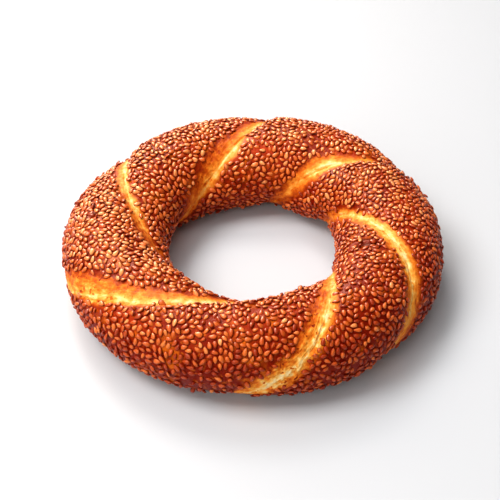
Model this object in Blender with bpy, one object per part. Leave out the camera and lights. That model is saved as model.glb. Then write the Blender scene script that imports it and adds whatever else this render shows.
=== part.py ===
"""Simit: two strands of dough twisted round each other and joined into a ring, baked in one piece.

Metres, +Z up. The ring lies on z = 0, with its hole round the Z axis. Angles round the ring run
anticlockwise from +X. Angles round the rope of dough run from its outer side (0), over the crown
(90), to its inner side (180) and on underneath (270).
"""

import math

import bmesh
import bpy
import numpy as np

# Ring
RING_RADIUS = 0.0541          # centre line of the rope
ROPE_HALF_WIDTH = 0.0199      # level half-width of the rope
HEIGHT = 0.0334
WAIST_SHARE = 0.46            # share of the height at which the rope is widest

# Slow swellings of a hand-made ring: (number round the ring, share of the size, degrees of a peak)
RING_SWELLINGS = ((2, 0.006, 16.0), (3, 0.005, 52.0))
ROPE_SWELLINGS = ((1, 0.068, 79.0), (2, 0.032, 12.0), (3, 0.029, 85.0))

# Seams between the strands: degrees round the ring where each one passes the outer side, the crown
# and the inner side of the rope. The three of a line follow each other and close on themselves.
FIRST_SEAM_LINE = ((71.5, 90.0, 130.0), (201.5, 243.5, 293.0), (317.5, 346.5, 388.0))
SECOND_SEAM_LINE = ((124.0, 159.5, 215.0), (279.0, 301.5, 335.0), (380.0, 397.0, 427.0))
SEAM_SIDES = (0.0, 90.0, 180.0)

FIRST_SEAM_DEPTHS = (0.0022, 0.0013, 0.0019)      # of each seam of the line at the crown
SECOND_SEAM_DEPTHS = (0.0024, 0.0012, 0.0021)
SEAM_HALF_WIDTH = 0.0045
STRAND_BULGE = 0.0004         # a strand's middle stands out from the rope's mean surface

RINGS = 132                   # steps round the ring
STEPS_PER_STRAND = 16         # steps across each strand

CRUST_COLOUR = (0.27, 0.065, 0.015, 1.0)
CRUST_ROUGHNESS = 0.38


def clear_scene():
    for item in list(bpy.data.objects):
        bpy.data.objects.remove(item)


def swelling(ring_angle, swellings):
    """1, plus the slow swellings at that angle round the ring."""
    waves = (share * np.cos(count * (ring_angle - math.radians(peak)))
             for count, share, peak in swellings)
    return 1.0 + sum(waves)


def seam_curve(line):
    """Returns a function: the angle of a seam line round the rope, from the angle round the ring.

    Both are in degrees. It is a smooth rising curve through the line's crossings, and it goes on
    past one lap, where it has turned once round the rope for each seam.
    """
    lap = 360.0
    turns = 360.0 * len(line)
    ring = np.array([crossing for seam in line for crossing in seam])
    rope = np.array([360.0 * number + side for number in range(len(line)) for side in SEAM_SIDES])
    ring = np.concatenate([ring - lap, ring, ring + lap])
    rope = np.concatenate([rope - turns, rope, rope + turns])
    rise = np.diff(rope) / np.diff(ring)
    slope = np.concatenate([rise[:1], 2.0 * rise[:-1] * rise[1:] / (rise[:-1] + rise[1:]), rise[-1:]])

    def rope_angle(ring_angle):
        start = np.searchsorted(ring, ring_angle, side="right") - 1
        gap = ring[start + 1] - ring[start]
        t = (ring_angle - ring[start]) / gap
        rises = (t - 2.0 * t ** 2 + t ** 3) * slope[start] + (t ** 3 - t ** 2) * slope[start + 1]
        share = 3.0 * t ** 2 - 2.0 * t ** 3
        return rope[start] * (1.0 - share) + rope[start + 1] * share + gap * rises

    return rope_angle


def seam_depth(depths, rope_angle):
    """Depth of a seam line where it has turned that far round the rope, in degrees."""
    depths = np.array(depths)
    past = (rope_angle - 90.0) / 360.0
    number = np.floor(past).astype(int)
    share = 0.5 - 0.5 * np.cos(math.pi * (past - number))
    return depths[number % len(depths)] * (1.0 - share) + depths[(number + 1) % len(depths)] * share


def rope_surface(ring_angle, across):
    """Points of the crust.

    ring_angle is in radians. across runs from 0 to 1 over one strand, from the first seam line to
    the second, and from 1 to 2 over the other strand.
    """
    degrees = np.degrees(ring_angle)
    first = seam_curve(FIRST_SEAM_LINE)(degrees)
    second = seam_curve(SECOND_SEAM_LINE)(degrees)
    first_depth = seam_depth(FIRST_SEAM_DEPTHS, first)
    second_depth = seam_depth(SECOND_SEAM_DEPTHS, second)
    second = first + (second - first) % 360.0
    on_other = across >= 1.0
    start = np.radians(np.where(on_other, second, first))
    spread = np.radians(np.where(on_other, first + 360.0 - second, second - first))
    t = across - on_other
    rope_angle = start + t * spread

    half_width = ROPE_HALF_WIDTH * swelling(ring_angle, ROPE_SWELLINGS)
    waist = WAIST_SHARE * HEIGHT
    half_height = HEIGHT - waist
    width = spread * half_height
    near_first = np.exp(-(np.where(on_other, 1.0 - t, t) * width / SEAM_HALF_WIDTH) ** 1.5)
    near_second = np.exp(-(np.where(on_other, t, 1.0 - t) * width / SEAM_HALF_WIDTH) ** 1.5)
    relief = STRAND_BULGE * np.sin(math.pi * t) ** 2
    relief = relief - first_depth * near_first - second_depth * near_second

    radius = RING_RADIUS * swelling(ring_angle, RING_SWELLINGS)
    radius = radius + (half_width + relief) * np.cos(rope_angle)
    height = waist + (half_height + relief) * np.sin(rope_angle)
    return np.stack([radius * np.cos(ring_angle), radius * np.sin(ring_angle), height], axis=-1)


def crust_material():
    material = bpy.data.materials.new("crust")
    material.use_nodes = True
    shader = material.node_tree.nodes["Principled BSDF"]
    shader.inputs["Base Color"].default_value = CRUST_COLOUR
    shader.inputs["Roughness"].default_value = CRUST_ROUGHNESS
    shader.inputs["Metallic"].default_value = 0.0
    return material


def split_faces(mesh):
    """Cuts each slanting face across its shorter way, so that the strands stay smooth."""
    shape = bmesh.new()
    shape.from_mesh(mesh)
    bmesh.ops.triangulate(shape, faces=shape.faces[:], quad_method="SHORT_EDGE")
    shape.to_mesh(mesh)
    shape.free()


def build_ring():
    """A torus whose lines round the tube are laid along the strands, then shaped into the rope."""
    bpy.ops.mesh.primitive_torus_add(
        major_segments=RINGS,
        minor_segments=2 * STEPS_PER_STRAND,
        major_radius=RING_RADIUS,
        minor_radius=ROPE_HALF_WIDTH,
    )
    ring = bpy.context.object
    ring.name = "simit"
    mesh = ring.data

    plain = np.zeros(len(mesh.vertices) * 3, np.float32)
    mesh.vertices.foreach_get("co", plain)
    x, y, z = plain.reshape(-1, 3).astype(float).T
    ring_step = np.round(np.arctan2(y, x) / (2.0 * math.pi) * RINGS) % RINGS
    tube_step = np.arctan2(z, np.hypot(x, y) - RING_RADIUS) / math.pi * STEPS_PER_STRAND
    tube_step = np.round(tube_step) % (2 * STEPS_PER_STRAND)

    points = rope_surface(ring_step * 2.0 * math.pi / RINGS, tube_step / STEPS_PER_STRAND)
    points[:, 2] = np.maximum(points[:, 2], 0.0)      # the dough is pressed flat where it lay
    centre = (points.min(axis=0) + points.max(axis=0)) / 2.0
    points[:, :2] -= centre[:2]
    mesh.vertices.foreach_set("co", points.astype(np.float32).ravel())
    split_faces(mesh)
    mesh.shade_smooth()
    mesh.materials.append(crust_material())
    return ring


def main():
    clear_scene()
    ring = build_ring()
    parts = bpy.data.collections.new("simit")
    bpy.context.scene.collection.children.link(parts)
    for holder in list(ring.users_collection):
        holder.objects.unlink(ring)
    parts.objects.link(ring)


main()
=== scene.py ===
import math

import bpy
import numpy as np
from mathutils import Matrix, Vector
from mathutils.bvhtree import BVHTree
from mathutils.kdtree import KDTree


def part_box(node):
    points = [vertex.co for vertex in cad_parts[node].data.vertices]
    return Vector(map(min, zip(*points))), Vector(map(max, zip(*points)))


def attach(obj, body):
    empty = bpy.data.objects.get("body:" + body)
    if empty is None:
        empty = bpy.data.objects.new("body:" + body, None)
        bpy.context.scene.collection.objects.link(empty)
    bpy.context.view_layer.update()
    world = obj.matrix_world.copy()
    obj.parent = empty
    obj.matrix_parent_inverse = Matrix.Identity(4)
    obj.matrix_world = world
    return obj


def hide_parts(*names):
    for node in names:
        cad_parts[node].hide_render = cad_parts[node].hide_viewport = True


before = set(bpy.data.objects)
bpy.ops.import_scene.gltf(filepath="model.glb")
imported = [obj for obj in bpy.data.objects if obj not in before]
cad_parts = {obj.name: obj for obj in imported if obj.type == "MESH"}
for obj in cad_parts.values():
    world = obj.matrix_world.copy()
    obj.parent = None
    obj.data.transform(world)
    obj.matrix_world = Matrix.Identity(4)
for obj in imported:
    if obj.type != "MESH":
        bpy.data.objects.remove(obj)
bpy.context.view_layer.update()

# A simit: two strands of dough twisted into a ring, dipped in molasses, rolled in sesame and baked.
# Metres, +Z up. The ring angle runs anticlockwise from +X. The rope angle runs from the rope's outer
# side (0) over its crown (90) to the side of the hole (180) and on underneath (270).

cadLow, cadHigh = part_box("simit")
cadCentre = (cadLow + cadHigh) / 2
mm = 0.001
print("simit: frame loaded, " + str(tuple(round(size / mm, 1) for size in cadHigh - cadLow)) + " mm")


crustValues = {
    "ringRadius": 54.1 * mm,       # centre line of the rope
    "halfWidth": 19.9 * mm,
    "height": 33.4 * mm,
    "waistShare": 0.46,            # share of the height where the rope is widest
    "skin": 0.45 * mm,             # the crust lies this far inside the tops of the seeds
    # slow swellings: number round the ring, share of the size, degrees of a peak
    "ringSwellings": ((2, 0.006, 16.0), (3, 0.005, 52.0)),
    "ropeSwellings": ((1, 0.068, 79.0), (2, 0.032, 12.0), (3, 0.029, 85.0)),
    "rings": 480,
    "stepsPerStrand": 88,
    "crowding": 0.55,              # how much closer the steps lie beside a seam
    "sampleStep": 0.2,             # degrees between the points that each line of seams is measured by
    # short wrinkles: where they start and end on the plain rope, and how wide they are, in mm
    "wrinkles": (((39.0, -15.5, 29.2), (47.5, -15.6, 32.4), 1.3),
                 ((40.5, -11.8, 29.3), (44.5, -12.2, 31.3), 0.8)),
    # painted shade on the crust, 0 to 1: darker low on the sides, and on the side turned away from the window
    # lamp
    "lowPaintedShade": 0.72,
    "sidePaintedShade": 0.90,
    "shadedSide": 312.0,
    # inputs of the node tree that shapes the rope
    "relief": {
        "Edge Roll": 1.8 * mm,     # how far past the bare dough the groove goes on, on its steep side
        "Flank Roll": 5.0 * mm,    # and on its wide side
        "Groove Power": 1.7,
        "Cut Depth": 0.7 * mm,     # a sharper cut along the middle of the groove, in places
        "Cut Width": 0.55 * mm,
        "Strand Bulge": 0.45 * mm,
        "Lump Height": 0.8 * mm,
        "Grain Height": 0.35 * mm,
        "Fibre Height": 0.45 * mm,
        "Torn Height": 1.6 * mm,
        "Torn Paleness": 1.3,
        "Ragged Edge": 3.2 * mm,   # how unevenly the bare dough ends, finely and over a longer way
        "Wandering Edge": 2.6 * mm,
        "Wrinkle Depth": 1.9 * mm,
        "Toasting": 0.55,          # how much darker narrow dough is at its edge
        "Wide Toasting": 0.98,     # and wide dough
        "Foot Height": 0.40 * mm,
    },
    # noise patterns, in waves per metre
    "cutScale": 95.0,
    "edgeScale": 380.0,
    "wanderScale": 85.0,
    "fibreScale": (150.0, 800.0),  # along the seam and across it
    "crumbScale": 520.0,
    "lumpScale": 70.0,
    "grainScale": 420.0,
    # colours of the glazed crust
    "deep": (0.195, 0.0060, 0.0002),
    "brown": (0.420, 0.0260, 0.0008),
    "orange": (0.740, 0.1350, 0.0050),
    # painted shade in the wrinkles
    "paintedCreaseShade": (0.120, 0.0060, 0.0003),
    "underside": ((0.15, 0.030, 0.005), (0.34, 0.105, 0.026)),
    # colours of bare dough, from its toasted edge to its palest
    "doughStops": ((0.0, (0.26, 0.018, 0.001)), (0.21, (0.54, 0.070, 0.003)), (0.43, (0.80, 0.175, 0.010)),
                   (0.60, (0.93, 0.320, 0.034)), (0.73, (0.98, 0.460, 0.085)), (0.86, (1.0, 0.620, 0.200)),
                   (1.0, (1.0, 0.730, 0.350))),
    "doughRange": 0.86,            # the paleness 1 lies here on those stops
    "paintedShadeDepth": 0.95,          # how far full painted shade takes the crust to the deep colour
    "orangePatches": 0.70,
    "orangeMottle": 0.55,
    "deepMottle": 0.60,
    "patchScale": 55.0,
    "toastingScale": 130.0,
    "mottleScale": 480.0,
    "speckScale": 500.0,
    "blotchScale": 320.0,
    "fibreColourScale": (170.0, 900.0),
    "pitScale": 900.0,
    "speckDepth": 0.50,            # how much darker the toasted specks of torn dough are
    "blotchDepth": 1.15,
    "fibreDepth": 0.45,
    "mottleDepth": 0.35,
    "roughness": (0.42, 0.55),     # of the glaze and of bare dough
    "specular": 0.10,
    "glaze": (1.0, 0.60, 0.42),    # the colour of its gloss
    "bumpStrength": 0.6,
    "bumpHeight": 0.6 * mm,
    "bumpPits": 0.6,               # shares of the pits and of the mottle in it
    "bumpMottle": 0.7,
}

# Each seam crosses the outer side, crown and inner side of the rope at these ring angles. The rest is
# given at rope angles 0, 30, 60, 90, 120, 150 and 180, lengths in mm: the depth of the groove, the bare
# dough on its side of the hole and on its side of the rim, the seedless crust beyond each (less than 0
# where seeds lie on the dough), how pale the dough is, where it is palest (-1 rim, 1 hole), and how torn.
firstSeamLine = (
    {"crossings": (74.0, 91.8, 130.0),
     "depth": (2.0, 2.2, 2.2, 2.0, 2.0, 1.8, 1.5),
     "towardHole": (0.8, 0.8, 0.8, 1.0, 3.4, 2.6, 1.2),
     "towardRim": (2.5, 2.8, 3.8, 5.8, 7.2, 7.8, 6.8),
     "clearHole": (-0.3, -0.3, -0.3, -0.3, -0.2, -0.2, -0.2),
     "clearRim": (0.0, 0.0, 0.2, -0.9, -1.0, -0.8, -0.8),
     "pale": (0.50, 0.60, 0.84, 0.96, 1.02, 0.94, 0.74),
     "palest": (0.0, 0.0, -0.1, 0.0, 0.3, 0.2, -0.1),
     "torn": (0.1, 0.1, 0.1, 0.1, 0.3, 0.5, 0.4)},
    {"crossings": (199.8, 242.0, 289.5),
     "depth": (0.1, 0.6, 1.0, 1.4, 1.6, 1.6, 1.6),
     "towardHole": (8.5, 9.4, 7.4, 5.6, 4.4, 2.0, 1.5),
     "towardRim": (0.6, 0.8, 1.0, 1.1, 1.1, 0.7, 0.5),
     "clearHole": (-0.8, -0.8, -0.4, 0.8, 0.2, -0.4, -0.2),
     "clearRim": (-0.3, -0.5, -0.7, -0.7, -0.5, -0.3, 0.0),
     "pale": (0.90, 0.93, 0.98, 1.02, 0.98, 0.74, 0.50),
     "palest": (0.1, 0.16, 0.16, 0.16, 0.1, 0.0, 0.0),
     "torn": (1.0, 0.9, 0.6, 0.4, 0.3, 0.2, 0.2)},
    {"crossings": (320.2, 346.8, 387.0),
     "depth": (1.0, 1.3, 1.6, 1.8, 1.9, 1.8, 1.6),
     "towardHole": (4.4, 4.2, 3.9, 3.6, 3.6, 2.2, 2.2),
     "towardRim": (4.4, 4.4, 4.0, 3.2, 3.0, 2.2, 2.4),
     "clearHole": (-0.8, -0.9, -0.9, -0.8, -0.8, -0.4, -0.3),
     "clearRim": (-0.8, -0.9, -0.9, -0.8, -0.8, -0.4, -0.3),
     "pale": (0.90, 0.93, 1.06, 1.12, 1.10, 0.86, 0.50),
     "palest": (0.1, 0.1, 0.0, 0.0, 0.0, 0.0, 0.0),
     "torn": (0.5, 0.5, 0.6, 0.5, 0.5, 0.3, 0.3)},
)
secondSeamLine = (
    {"crossings": (125.5, 159.5, 214.5),
     "depth": (1.8, 2.0, 2.1, 2.1, 1.6, 1.0, 0.8),
     "towardHole": (1.4, 1.6, 1.8, 1.8, 3.4, 0.6, 0.4),
     "towardRim": (3.2, 3.8, 4.2, 3.4, 3.5, 5.6, 3.0),
     "clearHole": (-0.2, -0.2, -0.3, -0.3, -0.3, -0.2, 0.0),
     "clearRim": (0.0, 0.0, -0.2, 0.0, -0.3, -0.3, 0.0),
     "pale": (0.90, 1.00, 1.10, 1.08, 0.92, 0.50, 0.10),
     "palest": (0.0, 0.0, 0.0, 0.1, 0.2, -0.2, 0.0),
     "torn": (0.2, 0.2, 0.3, 0.4, 0.6, 0.4, 0.0)},
    {"crossings": (278.2, 301.0, 332.0),
     "depth": (0.1, 0.4, 0.8, 1.4, 1.5, 1.5, 1.5),
     "towardHole": (7.4, 6.2, 5.2, 5.8, 6.4, 5.0, 2.8),
     "towardRim": (4.4, 4.2, 4.2, 3.0, 1.8, 1.3, 0.9),
     "clearHole": (-0.6, -0.6, -0.4, -0.8, -1.6, -1.2, -0.2),
     "clearRim": (-2.2, -2.6, -2.6, -1.6, -0.7, -0.4, 0.0),
     "pale": (1.12, 1.05, 0.99, 0.99, 1.00, 0.92, 0.78),
     "palest": (0.3, 0.2, 0.05, 0.0, 0.1, 0.1, 0.2),
     "torn": (1.4, 1.4, 1.2, 0.8, 0.4, 0.2, 0.2)},
    {"crossings": (383.0, 399.0, 426.5),
     "depth": (2.4, 2.8, 3.0, 2.5, 2.1, 1.8, 1.4),
     "towardHole": (1.0, 1.0, 1.1, 1.4, 2.1, 4.4, 3.4),
     "towardRim": (2.2, 2.6, 3.0, 3.6, 5.6, 4.4, 3.4),
     "clearHole": (-0.2, -0.2, -0.3, -0.3, -0.3, -0.3, -0.2),
     "clearRim": (0.0, 0.0, 0.2, 0.0, -0.3, -0.4, -0.2),
     "pale": (0.50, 0.58, 0.72, 0.96, 1.10, 0.82, 0.48),
     "palest": (0.0, 0.0, 0.0, 0.0, -0.15, -0.15, 0.0),
     "torn": (0.1, 0.1, 0.1, 0.2, 0.3, 0.4, 0.4)},
)
seamSides = (0.0, 90.0, 180.0)
seamStations = (0.0, 30.0, 60.0, 90.0, 120.0, 150.0, 180.0, 270.0)
underside = {"depth": 1.5, "towardHole": 2.0, "towardRim": 2.0, "clearHole": 0.0, "clearRim": 0.0,
             "pale": 0.2, "palest": 0.0, "torn": 0.0}


def easedBetween(value, low, high):
    share = np.clip((value - low) / (high - low), 0, 1)
    return share * share * (3 - 2 * share)


def swelling(ringAngle, swellings):
    waves = (share * np.cos(count * (ringAngle - math.radians(peak))) for count, share, peak in swellings)
    return 1 + sum(waves)


def seamCurve(line):
    # A smooth rising curve through a line's crossings: rope angle from ring angle, in degrees.
    turns = 360.0 * len(line)
    ring = np.array([crossing for seam in line for crossing in seam["crossings"]])
    rope = np.array([360.0 * number + side for number in range(len(line)) for side in seamSides])
    ring = np.concatenate([ring - 360.0, ring, ring + 360.0])
    rope = np.concatenate([rope - turns, rope, rope + turns])
    rise = np.diff(rope) / np.diff(ring)
    slope = np.concatenate([rise[:1], 2 * rise[:-1] * rise[1:] / (rise[:-1] + rise[1:]), rise[-1:]])

    def ropeAngle(ringAngle):
        start = np.searchsorted(ring, ringAngle, side="right") - 1
        gap = ring[start + 1] - ring[start]
        t = (ringAngle - ring[start]) / gap
        rises = (t - 2 * t ** 2 + t ** 3) * slope[start] + (t ** 3 - t ** 2) * slope[start + 1]
        share = 3 * t ** 2 - 2 * t ** 3
        return rope[start] * (1 - share) + rope[start + 1] * share + gap * rises

    return ropeAngle


def alongLine(line, name, ropeAngle):
    # A value of the seams of a line, eased from station to station as the line turns round the rope.
    values = np.array([value for seam in line for value in (*seam[name], underside[name])])
    stations = np.array([360.0 * number + station for number in range(len(line)) for station in seamStations])
    turns = 360.0 * len(line)
    place = np.mod(ropeAngle, turns)
    after = np.searchsorted(stations, place, side="right") % len(stations)
    before = after - 1
    gap = np.mod(stations[after] - stations[before], turns)
    share = 0.5 - 0.5 * np.cos(np.mod(place - stations[before], turns) / gap * math.pi)
    return values[before] * (1 - share) + values[after] * share


def ropePoints(ringAngle, ropeAngle):
    # Points of the plain rope, and the way out from its middle, both angles in radians.
    waist = crustValues["waistShare"] * crustValues["height"]
    halfHeight = crustValues["height"] - waist - crustValues["skin"]
    halfWidth = crustValues["halfWidth"] * swelling(ringAngle, crustValues["ropeSwellings"])
    halfWidth = halfWidth - crustValues["skin"]
    radius = crustValues["ringRadius"] * swelling(ringAngle, crustValues["ringSwellings"])
    radius = radius + halfWidth * np.cos(ropeAngle)
    height = waist + halfHeight * np.sin(ropeAngle)
    places = np.stack([radius * np.cos(ringAngle), radius * np.sin(ringAngle), height], axis=-1)
    level = np.cos(ropeAngle)
    outward = np.stack([level * np.cos(ringAngle), level * np.sin(ringAngle), np.sin(ropeAngle)], axis=-1)
    return places, outward


def seamSamples():
    # Close points along both lines of seams, with what each seam is like there.
    rows = []
    for line in (firstSeamLine, secondSeamLine):
        ringDegrees = np.arange(0.0, 360.0, crustValues["sampleStep"])
        ropeDegrees = seamCurve(line)(ringDegrees)
        places, outward = ropePoints(np.radians(ringDegrees), np.radians(ropeDegrees))
        tangents = np.roll(places, -1, axis=0) - np.roll(places, 1, axis=0)
        steps = np.linalg.norm(tangents, axis=1, keepdims=True) / 2
        tangents = tangents / (2 * steps)
        sideways = np.cross(outward, tangents)
        sideways /= np.linalg.norm(sideways, axis=1, keepdims=True)
        rows.append({
            "places": places, "tangents": tangents, "sideways": sideways,
            "along": np.cumsum(steps[:, 0]),
            **{name: alongLine(line, name, ropeDegrees) for name in underside},
        })
    return {name: np.concatenate([row[name] for row in rows]) for name in rows[0]}


def wrinkleShare(places):
    # 1 in the middle of a wrinkle, 0 away from it.
    share = np.zeros(len(places))
    for start, end, width in crustValues["wrinkles"]:
        start, end = np.array(start) * mm, np.array(end) * mm
        along = np.clip((places - start) @ (end - start) / ((end - start) @ (end - start)), 0, 1)
        away = np.linalg.norm(places - start - along[:, None] * (end - start), axis=1)
        share = np.maximum(share, np.exp(-(away / (width * mm)) ** 2))
    return share


def setAttribute(mesh, name, kind, values):
    attribute = mesh.attributes.new(name, kind, "POINT")
    field = "vector" if kind == "FLOAT_VECTOR" else "value"
    attribute.data.foreach_set(field, np.asarray(values, np.float32).ravel())


def numbers(items, name, width=1):
    values = np.zeros(len(items) * width, np.float32)
    items.foreach_get(name, values)
    return values.reshape(-1, width) if width > 1 else values


def cornersOf(mesh):
    corners = np.zeros(len(mesh.loops), np.int32)
    mesh.loops.foreach_get("vertex_index", corners)
    return corners


def treeOf(places):
    tree = KDTree(len(places))
    for index, place in enumerate(places.tolist()):
        tree.insert(place, index)
    tree.balance()
    return tree


def addObject(name, data):
    thing = bpy.data.objects.new(name, data)
    bpy.context.scene.collection.objects.link(thing)
    return thing


def ropeLines():
    # The grid of the plain rope: ring angle, rope angle, and how far across its strand, 0 to 1. The lines
    # run along the strands, so that every seam follows one of them.
    perStrand = crustValues["stepsPerStrand"]
    rings = np.arange(crustValues["rings"]) * 2 * math.pi / crustValues["rings"]
    ringAngle, column = np.meshgrid(rings, np.arange(2 * perStrand), indexing="ij")
    onOther = column >= perStrand
    across = (column % perStrand) / perStrand
    across = across - crustValues["crowding"] * np.sin(2 * math.pi * across) / (2 * math.pi)
    degrees = np.degrees(ringAngle)
    first = seamCurve(firstSeamLine)(degrees)
    second = seamCurve(secondSeamLine)(degrees)
    second = first + (second - first) % 360.0
    start = np.where(onOther, second, first)
    spread = np.where(onOther, first + 360.0 - second, second - first)
    return ringAngle, np.radians(start + across * spread), across


def gridMesh(places, ringAngle):
    number = np.arange(ringAngle.size).reshape(ringAngle.shape)
    here, ahead = number, np.roll(number, -1, axis=0)
    above, aheadAbove = np.roll(here, -1, axis=1), np.roll(ahead, -1, axis=1)
    faces = np.stack([np.stack([here, ahead, above], -1), np.stack([ahead, aheadAbove, above], -1)], 2)
    faces = faces.reshape(-1, 3)
    mesh = bpy.data.meshes.new("crust")
    mesh.vertices.add(number.size)
    mesh.vertices.foreach_set("co", places.astype(np.float32).ravel())
    mesh.loops.add(faces.size)
    mesh.loops.foreach_set("vertex_index", faces.astype(np.int32).ravel())
    mesh.polygons.add(len(faces))
    mesh.polygons.foreach_set("loop_start", np.arange(0, faces.size, 3, dtype=np.int32))
    mesh.update()

    # A map of the rope rolled out flat, for whoever paints or bakes it.
    columns = ringAngle.shape[1]
    flat = np.stack([number % columns / columns, ringAngle / (2 * math.pi)], -1).reshape(-1, 2)
    corners = flat[faces]
    corners += (corners.max(axis=1, keepdims=True) - corners) > 0.5
    mesh.uv_layers.new(name="OFBake").uv.foreach_set("vector", corners.astype(np.float32).ravel())
    return mesh


def seamFields(places, onSeam):
    # What the nearest seam is like at each place, and how far along it and beside it the place is.
    samples = seamSamples()
    tree = treeOf(samples["places"])
    nearest = np.array([tree.find(place)[1] for place in places])
    seam = {name: values[nearest] for name, values in samples.items()}
    apart = places - seam["places"]
    ahead = (apart * seam["tangents"]).sum(1)
    side = np.sign((apart * seam["sideways"]).sum(1))
    offset = side * np.sqrt(np.maximum((apart ** 2).sum(1) - ahead ** 2, 0))
    offset[onSeam] = 0
    onHoleSide = offset > 0
    reach = np.where(onHoleSide, seam["towardHole"], seam["towardRim"]) * mm
    other = np.where(onHoleSide, seam["towardRim"], seam["towardHole"]) * mm
    return {
        "seamOffset": offset,
        "seamAlong": seam["along"] + ahead,
        "bareReach": reach,
        "steepSide": np.clip((other - reach) / (4 * mm) + 0.5, 0, 1),
        "seedlessReach": reach + np.where(onHoleSide, seam["clearHole"], seam["clearRim"]) * mm,
        "seamDepth": seam["depth"] * mm,
        "seamPale": seam["pale"],
        "seamPalest": seam["palest"] * np.where(onHoleSide, 1, -1),
        "seamTorn": seam["torn"],
    }


def plainRope():
    # The rope before it is shaped, with all that its shape and colours follow kept at its points.
    ringAngle, ropeAngle, across = ropeLines()
    places, outward = ropePoints(ringAngle, ropeAngle)
    mesh = gridMesh(places, ringAngle)
    flatPlaces = places.reshape(-1, 3)
    # painted shade: darker low on the sides and on the side turned away from the window lamp
    shadedSideShare = (0.5 + 0.5 * np.cos(ringAngle - math.radians(crustValues["shadedSide"]))) ** 4
    shadedSideShare = shadedSideShare * (0.60 + 0.40 * np.cos(ropeAngle))
    toasted = easedBetween(np.sin(ropeAngle), 0.92, 0.1) * crustValues["lowPaintedShade"]
    toasted = toasted + crustValues["sidePaintedShade"] * shadedSideShare
    fields = {
        **seamFields(flatPlaces, across.ravel() == 0),
        "strandShare": across,
        "wrinkle": wrinkleShare(flatPlaces),
        "ropeAngle": np.mod(ropeAngle, 2 * math.pi),
        "ringAngle": ringAngle,
        "toasted": np.clip(toasted, 0, 1),
        "underneath": easedBetween(-np.sin(ropeAngle), 0.5, 0.82),
    }
    for name, values in fields.items():
        setAttribute(mesh, name, "FLOAT", values)
    setAttribute(mesh, "outward", "FLOAT_VECTOR", outward)
    return addObject("crust", mesh)


# Short ways to build node trees. A socket given as a value is linked, anything else is set.
def feed(tree, socket, value):
    if isinstance(value, bpy.types.NodeSocket):
        tree.links.new(value, socket)
    else:
        socket.default_value = value


def addNode(tree, kind, sockets=None, **settings):
    node = tree.nodes.new(kind)
    for name, value in settings.items():
        setattr(node, name, value)
    for key, value in (sockets or {}).items():
        feed(tree, node.inputs[key], value)
    return node


def calc(tree, operation, *values):
    return addNode(tree, "ShaderNodeMath", dict(enumerate(values)), operation=operation).outputs[0]


def plus(tree, first, *others):
    for value in others:
        first = calc(tree, "ADD", first, value)
    return first


def times(tree, first, *others):
    for value in others:
        first = calc(tree, "MULTIPLY", first, value)
    return first


def vectorCalc(tree, operation, *values):
    node = addNode(tree, "ShaderNodeVectorMath", operation=operation)
    for index, value in enumerate(values):
        feed(tree, node.inputs["Scale" if operation == "SCALE" and index == 1 else index], value)
    return node.outputs[0]


def eased(tree, value, low, high, fromValue=0.0, toValue=1.0):
    sockets = {"Value": value, "From Min": low, "From Max": high, "To Min": fromValue, "To Max": toValue}
    return addNode(tree, "ShaderNodeMapRange", sockets, interpolation_type="SMOOTHSTEP").outputs[0]


def stored(tree, name, kind="FLOAT"):
    node = addNode(tree, "GeometryNodeInputNamedAttribute", {"Name": name}, data_type=kind)
    return next(socket for socket in node.outputs if socket.enabled and socket.name == "Attribute")


def storeValue(tree, geometry, name, value):
    node = addNode(tree, "GeometryNodeStoreNamedAttribute", {"Geometry": geometry, "Name": name},
                   data_type="FLOAT", domain="POINT")
    tree.links.new(value, next(s for s in node.inputs if s.enabled and s.name == "Value"))
    return node.outputs["Geometry"]


def noiseAt(tree, place, scale, detail=2.0, roughness=0.5):
    # A noise field, centred on 0.
    sockets = {"Vector": place, "Scale": scale, "Detail": detail, "Roughness": roughness}
    noise = addNode(tree, "ShaderNodeTexNoise", sockets)
    return calc(tree, "SUBTRACT", noise.outputs[0], 0.5)


def fibreNoise(tree, along, offset, scales):
    # A noise field drawn out along the seam.
    alongScale, acrossScale = scales
    sockets = {"X": times(tree, along, alongScale), "Y": times(tree, offset, acrossScale)}
    return noiseAt(tree, addNode(tree, "ShaderNodeCombineXYZ", sockets).outputs[0], 1.0, 3.0, 0.6)


def newGeometryTree(name, inputs):
    tree = bpy.data.node_groups.new(name, "GeometryNodeTree")
    tree.is_modifier = True
    tree.interface.new_socket("Geometry", in_out="INPUT", socket_type="NodeSocketGeometry")
    for label, (kind, value) in inputs.items():
        socket = tree.interface.new_socket(label, in_out="INPUT", socket_type=kind)
        if value is not None:
            socket.default_value = value
    tree.interface.new_socket("Geometry", in_out="OUTPUT", socket_type="NodeSocketGeometry")
    return tree, tree.nodes.new("NodeGroupInput").outputs, tree.nodes.new("NodeGroupOutput")


def runTree(piece, tree, values):
    # Runs the tree on the piece and keeps the result as a plain mesh.
    modifier = piece.modifiers.new(tree.name, "NODES")
    modifier.node_group = tree
    for item in tree.interface.items_tree:
        if item.in_out == "INPUT" and item.name in values:
            modifier[item.identifier] = values[item.name]
    bpy.context.view_layer.update()
    evaluated = piece.evaluated_get(bpy.context.evaluated_depsgraph_get())
    mesh = bpy.data.meshes.new_from_object(evaluated)
    piece.modifiers.remove(modifier)
    old = piece.data
    piece.data = mesh
    bpy.data.meshes.remove(old)
    mesh.name = piece.name


def newMaterial(name):
    material = bpy.data.materials.new(name)
    material.use_nodes = True
    tree = material.node_tree
    return material, tree, tree.nodes["Principled BSDF"]


def attributeOf(tree, name):
    return addNode(tree, "ShaderNodeAttribute", attribute_name=name).outputs["Fac"]


def addBump(tree, shader, height, values):
    sockets = {"Strength": values["bumpStrength"], "Distance": values["bumpHeight"], "Height": height}
    tree.links.new(addNode(tree, "ShaderNodeBump", sockets).outputs[0], shader.inputs["Normal"])


def setGloss(shader, values):
    shader.inputs["Specular IOR Level"].default_value = values["specular"]
    shader.inputs["Specular Tint"].default_value = (*values["glaze"], 1)


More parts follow.
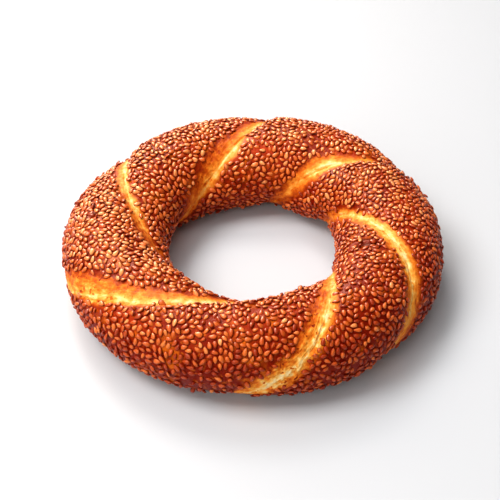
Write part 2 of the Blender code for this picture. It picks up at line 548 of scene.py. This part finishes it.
def mixColours(tree, share, first, second):
    node = addNode(tree, "ShaderNodeMix", data_type="RGBA")
    for index, value in ((0, share), (6, first), (7, second)):
        feed(tree, node.inputs[index], value)
    return node.outputs[2]


def colourRamp(tree, value, stops):
    node = addNode(tree, "ShaderNodeValToRGB", {"Fac": value})
    ramp = node.color_ramp
    while len(ramp.elements) < len(stops):
        ramp.elements.new(1.0)
    for element, (place, colour) in zip(ramp.elements, stops):
        element.position = place
        element.color = (*colour, 1.0)
    return node.outputs["Color"]


def crustMaterial():
    material, tree, shader = newMaterial("crust")
    place = addNode(tree, "ShaderNodeTexCoord").outputs["Object"]
    bare = attributeOf(tree, "bare")
    pale = attributeOf(tree, "pale")
    along, offset = attributeOf(tree, "seamAlong"), attributeOf(tree, "seamOffset")
    fibres = fibreNoise(tree, along, offset, crustValues["fibreColourScale"])

    # glazed crust
    patches = noiseAt(tree, place, crustValues["patchScale"], 3.0, 0.55)
    deep, brown, orange = ((*crustValues[name], 1) for name in ("deep", "brown", "orange"))
    crust = mixColours(tree, eased(tree, patches, -0.12, 0.14), deep, brown)
    # painted shade takes the crust towards the deep colour
    toasted = times(tree, attributeOf(tree, "toasted"), crustValues["paintedShadeDepth"])
    crust = mixColours(tree, toasted, crust, deep)
    toasting = noiseAt(tree, place, crustValues["toastingScale"], 2.0, 0.5)
    mottle = noiseAt(tree, place, crustValues["mottleScale"], 3.0, 0.6)
    for pattern, low, high, share, shade in (
            (toasting, 0.05, 0.24, "orangePatches", orange),
            (mottle, 0.04, 0.22, "orangeMottle", orange),
            (mottle, -0.04, -0.2, "deepMottle", deep)):
        crust = mixColours(tree, eased(tree, pattern, low, high, 0.0, crustValues[share]), crust, shade)
    # painted shade: the crust is darker in the wrinkles
    paintedCreaseShade = eased(tree, attributeOf(tree, "wrinkle"), 0.15, 0.65)
    crust = mixColours(tree, paintedCreaseShade, crust, (*crustValues["paintedCreaseShade"], 1))

    # bare dough
    specks = eased(tree, noiseAt(tree, place, crustValues["speckScale"], 2.0, 0.5), 0.11, 0.20)
    specks = times(tree, specks, attributeOf(tree, "seamTorn"), -1.0)
    blotches = noiseAt(tree, place, crustValues["blotchScale"], 4.0, 0.65)
    paleness = pale
    for shade, depth in ((fibres, "fibreDepth"), (mottle, "mottleDepth"),
                         (blotches, "blotchDepth"), (specks, "speckDepth")):
        paleness = plus(tree, paleness, times(tree, shade, crustValues[depth]))
    paleness = times(tree, paleness, crustValues["doughRange"])
    dough = colourRamp(tree, paleness, crustValues["doughStops"])
    colour = mixColours(tree, bare, crust, dough)

    # the side it was baked on
    baked = plus(tree, patches, times(tree, mottle, 0.6))
    darker, paler = ((*shade, 1) for shade in crustValues["underside"])
    baked = mixColours(tree, eased(tree, baked, -0.14, 0.16), darker, paler)
    colour = mixColours(tree, attributeOf(tree, "underneath"), colour, baked)
    tree.links.new(colour, shader.inputs["Base Color"])

    glazeRoughness, doughRoughness = crustValues["roughness"]
    rough = {"Value": bare, "To Min": glazeRoughness, "To Max": doughRoughness}
    tree.links.new(addNode(tree, "ShaderNodeMapRange", rough).outputs[0], shader.inputs["Roughness"])
    setGloss(shader, crustValues)
    # fine relief of the glaze and of the dough
    pits = noiseAt(tree, place, crustValues["pitScale"], 3.0, 0.6)
    streaks = times(tree, fibres, bare)
    height = plus(tree, times(tree, pits, crustValues["bumpPits"]), streaks)
    height = plus(tree, height, times(tree, mottle, crustValues["bumpMottle"]))
    addBump(tree, shader, height, crustValues)
    return material


seedValues = {
    "Seed Length": 3.1 * mm,
    "Seed Width": 1.9 * mm,
    "Seed Height": 1.0 * mm,
    "sizeSpread": (0.09, 0.76, 1.18),         # spread of their sizes, smallest, largest
    "shapeSpread": (0.05, 0.88, 1.14),        # and of their length, width and height one by one
    "largerSide": (165.0, 0.07),   # ring angle where the seeds are larger, and by what share
    "perSquareMetre": 0.160e6,     # where they lie closest
    "most": 4950,
    "thinPatch": (258.0, 28.0, 0.44, 0.20),   # ring angle, reach, share missing there and elsewhere
    "underneath": 0.35,            # share of the seeds that is left underneath
    "randomSeed": 5,
    "stray": 0.025,                # share of those on bare dough that stays there
    "wayWaves": 160,               # how fast the way they point drifts, in radians per metre
    "wayStrays": 0.6,              # and how far each one strays from it
    # rounds in which they are pushed apart
    "rounds": 45,
    "spread": 0.25,                # room that each seed starts with, as a share of its size
    "discs": ((-0.85, 0.05, 0.88), (0.55, 0.84, 0.67)),   # places along a seed and radii, in mm
    "pushShare": 0.36,             # share of an overlap that a round takes away, at most longestPush
    "longestPush": 0.5 * mm,
    "turnShare": 0.30,
    "turnArm": 0.9 * mm,
    "longestTurn": 0.3,
    "topUps": (25, 35),            # rounds before which gaps are filled
    "gap": 1.80 * mm,              # how far from every seed's middle a gap is
    "gapTries": 12000,
    "gapSizes": (0.93, 0.07, 0.76, 1.1),      # size of the seeds that fill gaps, spread, smallest, largest
    # how they lie
    "rimHeight": (0.11 * mm, 0.16 * mm),      # how far their rims stand over the crust, and the spread
    "tilt": 0.19,
    "standingShare": 0.05,         # seeds that lie askew, how much more they tilt, how much higher they lie
    "standingTilt": 3.5,
    "standingLift": 0.25 * mm,
    # colours, from darkest toast (0) to pale (1), and of the dark glaze and painted shade at the rim
    "tint": (0.67, 0.23),          # the usual one, and its spread
    "paintedShadeTint": 0.48,           # how much darker the seeds are painted where the crust below them has painted shade
    "stops": ((0.0, (0.32, 0.020, 0.001)), (0.35, (0.56, 0.070, 0.006)), (0.7, (0.78, 0.158, 0.022)),
              (1.0, (0.90, 0.310, 0.088))),
    "mottleDepth": 0.5,
    "mottleScale": 700.0,
    "rim": (0.24, 0.009, 0.0005),
    "roughness": 0.36,
    "specular": 0.42,
    "glaze": (1.0, 0.72, 0.52),
    "bumpScale": 2600.0,
    "bumpStrength": 0.25,
    "bumpHeight": 0.1 * mm,
}


def seedMaterial():
    material, tree, shader = newMaterial("toasted_sesame")
    tint = attributeOf(tree, "tint")
    height = attributeOf(tree, "heightInSeed")
    place = addNode(tree, "ShaderNodeTexCoord").outputs["Object"]
    mottle = noiseAt(tree, place, seedValues["mottleScale"], 2.0, 0.5)
    tint = plus(tree, tint, times(tree, mottle, seedValues["mottleDepth"]))
    colour = colourRamp(tree, tint, seedValues["stops"])
    # the base of each seed is darker: glaze pooled there, and painted shade where the seed meets the crust
    glaze = eased(tree, height, 0.05, 0.80, 0.95, 0.0)
    colour = mixColours(tree, glaze, colour, (*seedValues["rim"], 1))
    tree.links.new(colour, shader.inputs["Base Color"])
    shader.inputs["Roughness"].default_value = seedValues["roughness"]
    setGloss(shader, seedValues)
    addBump(tree, shader, noiseAt(tree, place, seedValues["bumpScale"], 2.0, 0.5), seedValues)
    return material


def crustTree():
    inputs = {name: ("NodeSocketFloat", value) for name, value in crustValues["relief"].items()}
    inputs["Crust"] = ("NodeSocketMaterial", None)
    tree, given, output = newGeometryTree("shapeCrust", inputs)
    place = tree.nodes.new("GeometryNodeInputPosition").outputs[0]
    offset = stored(tree, "seamOffset")
    away = calc(tree, "ABSOLUTE", offset)
    reach = stored(tree, "bareReach")
    along = stored(tree, "seamAlong")

    # groove: deepest on the seam, steep on its narrow side
    steep = stored(tree, "steepSide")
    roll = addNode(tree, "ShaderNodeMapRange", {
        "Value": steep, "To Min": given["Flank Roll"], "To Max": given["Edge Roll"]}).outputs[0]
    width = plus(tree, reach, roll)
    fall = calc(tree, "POWER", calc(tree, "DIVIDE", away, width), given["Groove Power"])
    groove = calc(tree, "EXPONENT", times(tree, fall, -1.0))
    groove = times(tree, groove, stored(tree, "seamDepth"))
    alongOnly = addNode(tree, "ShaderNodeCombineXYZ", {"X": along}).outputs[0]
    cutShare = eased(tree, noiseAt(tree, alongOnly, crustValues["cutScale"], 1.0), -0.04, 0.10)
    cutFall = calc(tree, "POWER", calc(tree, "DIVIDE", away, given["Cut Width"]), 2.0)
    cut = calc(tree, "EXPONENT", times(tree, cutFall, -1.0))
    groove = plus(tree, groove, times(tree, cut, cutShare, given["Cut Depth"]))

    # bare dough, with a ragged edge, palest beside or on the seam
    ragged = noiseAt(tree, place, crustValues["edgeScale"], 3.0, 0.7)
    wander = noiseAt(tree, place, crustValues["wanderScale"], 1.0, 0.5)
    ragged = times(tree, ragged, given["Ragged Edge"])
    wander = times(tree, wander, given["Wandering Edge"])
    away = plus(tree, away, plus(tree, ragged, wander))
    share = calc(tree, "DIVIDE", away, reach)
    bare = eased(tree, calc(tree, "SUBTRACT", away, reach), -1.2 * mm, 1.5 * mm, 1.0, 0.0)
    palest = stored(tree, "seamPalest")
    fromPalest = calc(tree, "ABSOLUTE", calc(tree, "SUBTRACT", share, palest))
    fromPalest = calc(tree, "DIVIDE", fromPalest, plus(tree, calc(tree, "ABSOLUTE", palest), 1.0))
    fromPalest = calc(tree, "POWER", fromPalest, 0.75)
    toasting = eased(tree, reach, 2.0 * mm, 7.0 * mm, given["Toasting"], given["Wide Toasting"])
    pale = calc(tree, "SUBTRACT", 1.0, times(tree, fromPalest, toasting))
    pale = times(tree, pale, stored(tree, "seamPale"))
    seedless = stored(tree, "seedlessReach")
    seedless = eased(tree, calc(tree, "SUBTRACT", away, seedless), -0.3 * mm, 0.9 * mm, 1.0, 0.0)

    fibres = fibreNoise(tree, along, offset, crustValues["fibreScale"])
    fibres = times(tree, fibres, given["Fibre Height"], bare)

    # torn dough: its crumbs stand up and are paler than the hollows between them
    crumbs = times(tree, noiseAt(tree, place, crustValues["crumbScale"], 4.0, 0.65), stored(tree, "seamTorn"))
    pale = plus(tree, pale, times(tree, crumbs, given["Torn Paleness"]))
    torn = times(tree, crumbs, given["Torn Height"], bare)

    dome = calc(tree, "SINE", times(tree, stored(tree, "strandShare"), math.pi))
    dome = times(tree, calc(tree, "POWER", dome, 2.0), given["Strand Bulge"])
    lumps = noiseAt(tree, place, crustValues["lumpScale"], 2.0, 0.5)
    lumps = times(tree, lumps, given["Lump Height"])
    grain = noiseAt(tree, place, crustValues["grainScale"], 3.0, 0.55)
    grain = times(tree, grain, given["Grain Height"])

    wrinkle = times(tree, stored(tree, "wrinkle"), given["Wrinkle Depth"])
    relief = calc(tree, "SUBTRACT", calc(tree, "SUBTRACT", dome, groove), wrinkle)
    relief = plus(tree, relief, lumps, grain, fibres, torn)
    raised = vectorCalc(tree, "SCALE", stored(tree, "outward", "FLOAT_VECTOR"), relief)
    raised = vectorCalc(tree, "ADD", place, raised)
    parts = addNode(tree, "ShaderNodeSeparateXYZ", {0: raised}).outputs
    foot = calc(tree, "SMOOTH_MAX", parts[2], given["Foot Height"], 0.8 * mm)
    settled = addNode(tree, "ShaderNodeCombineXYZ", {"X": parts[0], "Y": parts[1], "Z": foot}).outputs[0]

    shaped = addNode(tree, "GeometryNodeSetPosition", {"Geometry": given["Geometry"], "Position": settled})
    geometry = shaped.outputs[0]
    for name, value in (("bare", bare), ("pale", pale), ("seedless", seedless)):
        geometry = storeValue(tree, geometry, name, value)
    painted = addNode(tree, "GeometryNodeSetMaterial", {"Geometry": geometry, "Material": given["Crust"]})
    tree.links.new(painted.outputs[0], output.inputs[0])
    return tree


def makeCrust():
    piece = plainRope()
    runTree(piece, crustTree(), {**crustValues["relief"], "Crust": crustMaterial()})
    mesh = piece.data
    places = numbers(mesh.vertices, "co", 3).astype(float)
    centre = (places.min(axis=0) + places.max(axis=0)) / 2
    moved = np.array(cadCentre)[:2] - centre[:2]
    places[:, :2] += moved
    mesh.vertices.foreach_set("co", places.astype(np.float32).ravel())
    mesh.update()
    mesh.shade_smooth()
    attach(piece, "root")
    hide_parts("simit")
    print("simit: crust shaped, " + str(len(mesh.polygons)) + " faces, centre moved by "
          + str(tuple(round(value / mm, 2) for value in moved)) + " mm")
    return piece, moved


def crustSampler(crust):
    # The corners and values of each face of the crust, and a function that finds the nearest point of
    # the crust, its normal and its face.
    mesh = crust.data
    places = numbers(mesh.vertices, "co", 3).astype(float)
    normals = numbers(mesh.vertex_normals, "vector", 3).astype(float)
    faces = cornersOf(mesh).reshape(-1, 3)
    tree = BVHTree.FromPolygons(places.tolist(), faces.tolist())
    names = ("seedless", "ropeAngle", "ringAngle", "wrinkle", "steepSide", "toasted")
    values = {name: numbers(mesh.attributes[name].data, "value") for name in names}
    values["density"] = seedDensity(*(values[name] for name in names[:4]))
    values = {name: value[faces].mean(axis=1) for name, value in values.items()}

    def sample(points):
        found = [tree.find_nearest(point)[::2] for point in points.tolist()]
        near = np.array([tuple(spot) for spot, face in found])
        face = np.array([face for spot, face in found])
        normal = normals[faces[face]].mean(axis=1)
        normal /= np.linalg.norm(normal, axis=1, keepdims=True)
        return near, normal, face

    return places[faces], values, sample


def seedDensity(seedless, ropeAngle, ringAngle, wrinkle):
    # Share of the closest packing. The seeds thin out low on the outer side, most of all in one patch,
    # and few are left underneath.
    centre, width, share, elsewhere = seedValues["thinPatch"]
    rope = np.degrees(np.where(ropeAngle > 1.5 * math.pi, ropeAngle - 2 * math.pi, ropeAngle))
    ring = np.degrees(ringAngle)
    patch = np.exp(-((ring - centre) / width) ** 2)
    low = easedBetween(rope, 38.0, 0.0)
    density = 1 - low * (elsewhere + (share - elsewhere) * patch)
    under = np.maximum(easedBetween(rope, 200.0, 225.0), easedBetween(rope, -25.0, -50.0))
    density = density * (1 - (1 - seedValues["underneath"]) * under)
    return density * easedBetween(seedless, 0.9, 0.3) * easedBetween(wrinkle, 0.7, 0.3)


def pushApart(places, ahead, sizes, room, pairs):
    # Three discs stand for each seed. Overlapping discs push the seeds apart and turn them.
    reach, radii = (np.array(row) * mm for row in seedValues["discs"])
    move = np.zeros_like(places)
    turn = np.zeros_like(places)
    one, two = pairs
    for first in range(3):
        for second in range(3):
            armOne = ahead[one] * (reach[first] * sizes[one])[:, None]
            armTwo = ahead[two] * (reach[second] * sizes[two])[:, None]
            apart = places[one] + armOne - places[two] - armTwo
            distance = np.linalg.norm(apart, axis=1) + 1e-9
            overlap = radii[first] * room[one] + radii[second] * room[two] - distance
            overlap = np.maximum(overlap, 0)
            push = apart * (overlap / distance)[:, None]
            np.add.at(move, one, push)
            np.add.at(move, two, -push)
            np.add.at(turn, one, np.cross(armOne, push))
            np.add.at(turn, two, np.cross(armTwo, -push))
    return move, turn


def nearPairs(places, distance):
    tree = treeOf(places)
    one, two = [], []
    for index, place in enumerate(places.tolist()):
        for _, other, _ in tree.find_range(place, distance):
            if other > index:
                one.append(index)
                two.append(other)
    return np.array(one), np.array(two)


def laidFlat(direction, normal):
    direction = direction - normal * (direction * normal).sum(1, keepdims=True)
    return direction / np.linalg.norm(direction, axis=1, keepdims=True)


def gapPlaces(places, corner, weight, density, rng):
    # Places for more seeds, where the others have left bare crust between them.
    chosen = rng.choice(len(corner), seedValues["gapTries"], p=weight / weight.sum())
    tried = corner[chosen].mean(axis=1)
    tree = treeOf(places)
    added = []
    for place, share in zip(tried.tolist(), density[chosen]):
        gap = seedValues["gap"] / math.sqrt(max(share, 0.2))
        if tree.find(place)[2] > gap and all(math.dist(place, other) > 1.4 * gap for other in added):
            added.append(place)
    print("simit: " + str(len(added)) + " gaps filled")
    return np.array(added).reshape(-1, 3)


def scatterSeeds(crust, rng):
    # Spreads the seeds over the crust, pushes them apart and fills the gaps that this leaves.
    corner, values, sample = crustSampler(crust)
    area = np.linalg.norm(np.cross(corner[:, 1] - corner[:, 0], corner[:, 2] - corner[:, 0]), axis=1) / 2
    density = values["density"]
    weight = area * density
    count = int(min(weight.sum() * seedValues["perSquareMetre"], seedValues["most"]))
    chosen = rng.choice(len(corner), count, p=weight / weight.sum())
    mix = rng.dirichlet((1, 1, 1), count)
    places = (corner[chosen] * mix[:, :, None]).sum(axis=1)
    spread, smallest, largest = seedValues["sizeSpread"]
    sizes = rng.normal(1.0, spread, count).clip(smallest, largest)
    side, share = seedValues["largerSide"]
    sizes *= 1 + share * np.cos(np.arctan2(places[:, 1], places[:, 0]) - math.radians(side))

    places, normals, face = sample(places)
    # the way the seeds point drifts over the ring, and each one strays from it
    waves = seedValues["wayWaves"]
    drift = np.stack([np.sin(places @ rng.normal(0, waves, 3) + rng.uniform(0, 6)) for _ in range(3)], 1)
    drift = drift / np.linalg.norm(drift, axis=1, keepdims=True)
    ahead = laidFlat(drift + rng.normal(0, seedValues["wayStrays"], (count, 3)), normals)
    rounds = seedValues["rounds"]
    longestPush, longestTurn = seedValues["longestPush"], seedValues["longestTurn"]
    usual, spread, smallest, largest = seedValues["gapSizes"]
    for number in range(rounds):
        if number in seedValues["topUps"]:
            extra = gapPlaces(places, corner, weight, density, rng)
            more = len(extra)
            places = np.concatenate([places, extra])
            sizes = np.concatenate([sizes, rng.normal(usual, spread, more).clip(smallest, largest)])
            places, normals, face = sample(places)
            ahead = laidFlat(np.concatenate([ahead, rng.normal(0, 1, (more, 3))]), normals)
        if number % 5 == 0:
            pairs = nearPairs(places, 5.0 * mm)
        # they start with room to spread evenly, and end at their own size
        thin = 1 / np.sqrt(np.maximum(density[face], 0.35))
        spare = 1 + seedValues["spread"] * max(0.0, 1 - number / (0.8 * rounds))
        move, turn = pushApart(places, ahead, sizes, sizes * spare * thin, pairs)
        places = places + np.clip(move * seedValues["pushShare"], -longestPush, longestPush)
        spin = (turn * normals).sum(1) / seedValues["turnArm"] ** 2 * seedValues["turnShare"]
        ahead = ahead + np.cross(normals, ahead) * np.clip(spin, -longestTurn, longestTurn)[:, None]
        places, normals, face = sample(places)
        ahead = laidFlat(ahead, normals)

    return places, normals, ahead, sizes, {name: value[face] for name, value in values.items()}


def settleSeeds(crust, rng):
    # Takes away the seeds on bare dough and in wrinkles, and tilts, lifts and tints the others.
    places, normals, ahead, sizes, below = scatterSeeds(crust, rng)
    stray = rng.uniform(0, 1, len(places))
    kept = (below["seedless"] < 0.5 + 0.35 * (below["steepSide"] > 0.5)) | (stray < seedValues["stray"])
    kept &= below["wrinkle"] < 0.42
    count = int(kept.sum())
    print("simit: " + str(count) + " seeds kept of " + str(len(places)))
    places, normals, ahead, sizes = places[kept], normals[kept], ahead[kept], sizes[kept]

    tilt = rng.normal(0, seedValues["tilt"], (count, 3))
    standing = rng.uniform(0, 1, count) < seedValues["standingShare"]
    tilt[standing] *= seedValues["standingTilt"]
    up = normals + tilt
    up /= np.linalg.norm(up, axis=1, keepdims=True)
    lift = rng.normal(*seedValues["rimHeight"], count) + standing * seedValues["standingLift"]
    # the seeds get the same painted shade as the crust below them
    tint = rng.normal(*seedValues["tint"], count) - seedValues["paintedShadeTint"] * below["toasted"][kept]
    return places + normals * lift[:, None], up, laidFlat(ahead, up), sizes, tint.clip(0, 1)


def seedMesh():
    # One seed with a pointed and a round end. Its rim lies at height 0.
    sides = 10
    angle = np.arange(sides) * 2 * math.pi / sides
    x = np.cos(angle)
    y = np.sin(angle) * (0.84 + 0.28 * np.cos(angle))
    y = y / np.abs(y).max()
    rim = np.stack([x * 0.5, y * 0.5, np.zeros(sides)], 1)
    shoulder = np.stack([x * 0.345 + 0.012, y * 0.33, np.full(sides, 0.48)], 1)
    points = np.concatenate([rim, shoulder, [[0.03, 0, 0.64]], [[0, 0, -0.36]]])
    faces = []
    for side in range(sides):
        after = (side + 1) % sides
        faces.append((side, after, sides + side))
        faces.append((after, sides + after, sides + side))
        faces.append((sides + side, sides + after, 2 * sides))
        faces.append((after, side, 2 * sides + 1))
    mesh = bpy.data.meshes.new("sesame_seed")
    mesh.from_pydata(points.tolist(), [], faces)
    mesh.shade_smooth()
    setAttribute(mesh, "heightInSeed", "FLOAT", np.clip(points[:, 2] / 0.64, 0, 1))
    return mesh


def seedTree():
    inputs = {
        "Seed": ("NodeSocketObject", None), "Sesame": ("NodeSocketMaterial", None),
        "Seed Length": ("NodeSocketFloat", 3 * mm), "Seed Width": ("NodeSocketFloat", 2 * mm),
        "Seed Height": ("NodeSocketFloat", 1 * mm),
    }
    tree, given, output = newGeometryTree("laySeeds", inputs)
    shape = addNode(tree, "GeometryNodeObjectInfo", {"Object": given["Seed"]})
    rotation = addNode(tree, "FunctionNodeAxesToRotation", primary_axis="Z", secondary_axis="X")
    tree.links.new(stored(tree, "up", "FLOAT_VECTOR"), rotation.inputs[0])
    tree.links.new(stored(tree, "ahead", "FLOAT_VECTOR"), rotation.inputs[1])
    size = addNode(tree, "ShaderNodeCombineXYZ", {
        "X": given["Seed Length"], "Y": given["Seed Width"], "Z": given["Seed Height"]}).outputs[0]
    size = vectorCalc(tree, "MULTIPLY", size, stored(tree, "build", "FLOAT_VECTOR"))
    laid = addNode(tree, "GeometryNodeInstanceOnPoints", {
        "Points": given["Geometry"], "Instance": shape.outputs["Geometry"],
        "Rotation": rotation.outputs[0], "Scale": size})
    real = addNode(tree, "GeometryNodeRealizeInstances", {"Geometry": laid.outputs[0]})
    painted = addNode(tree, "GeometryNodeSetMaterial", {
        "Geometry": real.outputs[0], "Material": given["Sesame"]})
    tree.links.new(painted.outputs[0], output.inputs[0])
    return tree


def keepSeedsAboveFloor(mesh, shape):
    # Seeds beside the foot are pressed into the dough.
    places = numbers(mesh.vertices, "co", 3).reshape(-1, len(shape.vertices), 3)
    lowest = places[:, :, 2].min(axis=1)
    places[:, :, 2] += np.maximum(0.05 * mm - lowest, 0)[:, None]
    mesh.vertices.foreach_set("co", places.ravel())
    mesh.update()


def mapSeeds(mesh, shape):
    # Each seed has two tiles of the map, one for its top and one for its underside.
    perSeed = len(shape.polygons)
    seed, within = np.divmod(np.arange(len(mesh.polygons)), perSeed)
    tile = 2 * seed + (within % 4 == 3)
    tiles = math.ceil(math.sqrt(2 * len(mesh.polygons) / perSeed))
    flat = numbers(shape.vertices, "co", 3)[cornersOf(mesh) % len(shape.vertices), :2]
    tile = np.repeat(tile, 3)
    spot = np.stack([tile % tiles, tile // tiles], 1) + 0.5 + flat * 0.86
    mesh.uv_layers.new(name="OFBake").uv.foreach_set("vector", (spot / tiles).astype(np.float32).ravel())


def makeSeeds(crust):
    rng = np.random.default_rng(seedValues["randomSeed"])
    places, up, ahead, sizes, tint = settleSeeds(crust, rng)
    mesh = bpy.data.meshes.new("sesame_seeds")
    mesh.vertices.add(len(places))
    mesh.vertices.foreach_set("co", places.astype(np.float32).ravel())
    setAttribute(mesh, "up", "FLOAT_VECTOR", up)
    setAttribute(mesh, "ahead", "FLOAT_VECTOR", ahead)
    spread, smallest, largest = seedValues["shapeSpread"]
    build = sizes[:, None] * rng.normal(1.0, spread, (len(places), 3)).clip(smallest, largest)
    setAttribute(mesh, "build", "FLOAT_VECTOR", build)
    setAttribute(mesh, "tint", "FLOAT", tint)
    piece = addObject("sesame_seeds", mesh)
    seed = addObject("sesame_seed", seedMesh())
    values = {name: seedValues[name] for name in ("Seed Length", "Seed Width", "Seed Height")}
    runTree(piece, seedTree(), {**values, "Seed": seed, "Sesame": seedMaterial()})
    keepSeedsAboveFloor(piece.data, seed.data)
    mapSeeds(piece.data, seed.data)
    bpy.data.objects.remove(seed)
    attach(piece, "root")
    print("simit: seeds laid, " + str(len(piece.data.polygons)) + " faces")
    return piece


stageValues = {
    "floorSize": 6.0,
    "floorColour": (0.56, 0.575, 0.60, 1.0),
    "skyColour": (1.0, 0.96, 0.92, 1.0),
    "skyStrength": 0.15,
    # name: degrees from the back towards the right, elevation, distance, size, watts, colour
    "lights": {
        "window": (-92.0, 57.0, 1.5, 0.72, 21.2, (1.0, 0.985, 0.965)),
        "fill": (-147.0, 33.0, 1.2, 0.80, 5.6, (1.0, 0.985, 0.965)),
        "backlight": (-16.0, 56.0, 0.9, 0.30, 2.8, (1.0, 0.99, 0.98)),
        "overhead": (0.0, 89.0, 0.9, 0.60, 2.0, (1.0, 0.99, 0.98)),
        "sheen": (-30.0, 40.0, 0.9, 0.50, 38.0, (1.0, 0.86, 0.74)),
    },
    "glossOnly": ("sheen",),       # lights that only show in gloss
}
cameraValues = {
    "elevation": 43.24,
    "distance": 426.67 * mm,
    "aimHeight": 14.0 * mm,
    "lens": 76.87,
    "shift": (-0.0057, -0.0041),
}


def makeStage():
    bpy.ops.mesh.primitive_plane_add(size=stageValues["floorSize"], location=(0, 0, 0))
    floor = bpy.context.object
    floor.name = "floor"
    material, _, shader = newMaterial("floor")
    shader.inputs["Base Color"].default_value = stageValues["floorColour"]
    shader.inputs["Roughness"].default_value = 0.7
    floor.data.materials.append(material)
    world = bpy.data.worlds.new("studio")
    bpy.context.scene.world = world
    world.use_nodes = True
    sky = world.node_tree.nodes["Background"]
    sky.inputs["Color"].default_value = stageValues["skyColour"]
    sky.inputs["Strength"].default_value = stageValues["skyStrength"]
    for name, (turn, elevation, distance, size, watts, colour) in stageValues["lights"].items():
        turn, elevation = math.radians(turn), math.radians(elevation)
        level = math.cos(elevation)
        place = Vector((math.sin(turn) * level, math.cos(turn) * level, math.sin(elevation))) * distance
        data = bpy.data.lights.new(name, "AREA")
        data.size = size
        data.energy = watts
        data.color = colour
        lamp = addObject(name, data)
        lamp.location = place
        lamp.rotation_euler = (-place).to_track_quat("-Z", "Y").to_euler()
        lamp.visible_diffuse = name not in stageValues["glossOnly"]


def makeCamera(ringMiddle):
    elevation = math.radians(cameraValues["elevation"])
    aim = Vector((ringMiddle[0], ringMiddle[1], cameraValues["aimHeight"]))
    data = bpy.data.cameras.new("camera")
    data.lens = cameraValues["lens"]
    data.sensor_width = 36.0
    data.shift_x, data.shift_y = cameraValues["shift"]
    data.clip_start = 0.01
    camera = addObject("camera", data)
    back = Vector((0, -math.cos(elevation), math.sin(elevation)))
    camera.location = aim + back * cameraValues["distance"]
    camera.rotation_euler = (math.pi / 2 - elevation, 0, 0)
    bpy.context.scene.camera = camera
    bpy.context.scene.view_settings.view_transform = "Standard"


crust, ringMiddle = makeCrust()
makeCamera(ringMiddle)
makeSeeds(crust)
makeStage()
print("simit: stage set")
